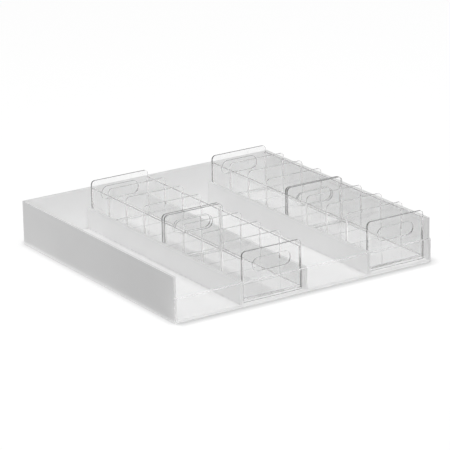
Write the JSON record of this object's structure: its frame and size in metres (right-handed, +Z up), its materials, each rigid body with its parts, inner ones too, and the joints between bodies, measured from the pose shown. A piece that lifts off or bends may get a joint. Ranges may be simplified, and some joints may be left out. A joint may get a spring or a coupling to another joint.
{
  "type": "blood unit drawer",
  "caption": "Open white drawer tray with lanes and a clear front lip, holding clear lift-out bins with finger slots and removable dividers for upright blood bags.",
  "frame": {"origin": "centre of the whole footprint, on the underside of the tray floor", "axes": "+Z up, -Y towards the clear front lip, +X to the right seen from the front"},
  "size_m": [0.56, 0.54, 0.0997],
  "materials": {
    "white_sheet": "satin",
    "clear_acrylic": "polished"
  },
  "bodies": {
    "tray": {"tray_floor": "white_sheet", "tray_left_wall": "white_sheet", "tray_right_wall": "white_sheet", "tray_back_wall": "white_sheet", "tray_front_lip": "clear_acrylic", "tray_partition_1": "white_sheet", "tray_partition_2": "white_sheet", "tray_partition_3": "white_sheet"},
    "left_front_bin": {"left_front_bin_front_plate": "clear_acrylic", "left_front_bin_rear_plate": "clear_acrylic", "left_front_bin_left_side": "clear_acrylic", "left_front_bin_right_side": "clear_acrylic", "left_front_bin_base": "clear_acrylic"},
    "left_front_bin_divider_1": {"left_front_bin_divider_1": "clear_acrylic"},
    "left_front_bin_divider_2": {"left_front_bin_divider_2": "clear_acrylic"},
    "left_front_bin_divider_3": {"left_front_bin_divider_3": "clear_acrylic"},
    "left_rear_bin": {"left_rear_bin_front_plate": "clear_acrylic", "left_rear_bin_rear_plate": "clear_acrylic", "left_rear_bin_left_side": "clear_acrylic", "left_rear_bin_right_side": "clear_acrylic", "left_rear_bin_base": "clear_acrylic"},
    "left_rear_bin_divider_1": {"left_rear_bin_divider_1": "clear_acrylic"},
    "left_rear_bin_divider_2": {"left_rear_bin_divider_2": "clear_acrylic"},
    "left_rear_bin_divider_3": {"left_rear_bin_divider_3": "clear_acrylic"},
    "right_front_bin": {"right_front_bin_front_plate": "clear_acrylic", "right_front_bin_rear_plate": "clear_acrylic", "right_front_bin_left_side": "clear_acrylic", "right_front_bin_right_side": "clear_acrylic", "right_front_bin_base": "clear_acrylic"},
    "right_front_bin_divider_1": {"right_front_bin_divider_1": "clear_acrylic"},
    "right_front_bin_divider_2": {"right_front_bin_divider_2": "clear_acrylic"},
    "right_front_bin_divider_3": {"right_front_bin_divider_3": "clear_acrylic"},
    "right_rear_bin": {"right_rear_bin_front_plate": "clear_acrylic", "right_rear_bin_rear_plate": "clear_acrylic", "right_rear_bin_left_side": "clear_acrylic", "right_rear_bin_right_side": "clear_acrylic", "right_rear_bin_base": "clear_acrylic"},
    "right_rear_bin_divider_1": {"right_rear_bin_divider_1": "clear_acrylic"},
    "right_rear_bin_divider_2": {"right_rear_bin_divider_2": "clear_acrylic"},
    "right_rear_bin_divider_3": {"right_rear_bin_divider_3": "clear_acrylic"}
  },
  "joints": [
    {"name": "left_front_bin_lift", "type": "slide", "parent": "tray", "child": "left_front_bin", "axis": [0, 0, 1], "range_m": [0, 0.1]},
    {"name": "left_front_bin_divider_1_lift", "type": "slide", "parent": "left_front_bin", "child": "left_front_bin_divider_1", "axis": [0, 0, 1], "range_m": [0, 0.09]},
    {"name": "left_front_bin_divider_2_lift", "type": "slide", "parent": "left_front_bin", "child": "left_front_bin_divider_2", "axis": [0, 0, 1], "range_m": [0, 0.09]},
    {"name": "left_front_bin_divider_3_lift", "type": "slide", "parent": "left_front_bin", "child": "left_front_bin_divider_3", "axis": [0, 0, 1], "range_m": [0, 0.09]},
    {"name": "left_rear_bin_lift", "type": "slide", "parent": "tray", "child": "left_rear_bin", "axis": [0, 0, 1], "range_m": [0, 0.1]},
    {"name": "left_rear_bin_divider_1_lift", "type": "slide", "parent": "left_rear_bin", "child": "left_rear_bin_divider_1", "axis": [0, 0, 1], "range_m": [0, 0.09]},
    {"name": "left_rear_bin_divider_2_lift", "type": "slide", "parent": "left_rear_bin", "child": "left_rear_bin_divider_2", "axis": [0, 0, 1], "range_m": [0, 0.09]},
    {"name": "left_rear_bin_divider_3_lift", "type": "slide", "parent": "left_rear_bin", "child": "left_rear_bin_divider_3", "axis": [0, 0, 1], "range_m": [0, 0.09]},
    {"name": "right_front_bin_lift", "type": "slide", "parent": "tray", "child": "right_front_bin", "axis": [0, 0, 1], "range_m": [0, 0.1]},
    {"name": "right_front_bin_divider_1_lift", "type": "slide", "parent": "right_front_bin", "child": "right_front_bin_divider_1", "axis": [0, 0, 1], "range_m": [0, 0.09]},
    {"name": "right_front_bin_divider_2_lift", "type": "slide", "parent": "right_front_bin", "child": "right_front_bin_divider_2", "axis": [0, 0, 1], "range_m": [0, 0.09]},
    {"name": "right_front_bin_divider_3_lift", "type": "slide", "parent": "right_front_bin", "child": "right_front_bin_divider_3", "axis": [0, 0, 1], "range_m": [0, 0.09]},
    {"name": "right_rear_bin_lift", "type": "slide", "parent": "tray", "child": "right_rear_bin", "axis": [0, 0, 1], "range_m": [0, 0.1]},
    {"name": "right_rear_bin_divider_1_lift", "type": "slide", "parent": "right_rear_bin", "child": "right_rear_bin_divider_1", "axis": [0, 0, 1], "range_m": [0, 0.09]},
    {"name": "right_rear_bin_divider_2_lift", "type": "slide", "parent": "right_rear_bin", "child": "right_rear_bin_divider_2", "axis": [0, 0, 1], "range_m": [0, 0.09]},
    {"name": "right_rear_bin_divider_3_lift", "type": "slide", "parent": "right_rear_bin", "child": "right_rear_bin_divider_3", "axis": [0, 0, 1], "range_m": [0, 0.09]}
  ]
}
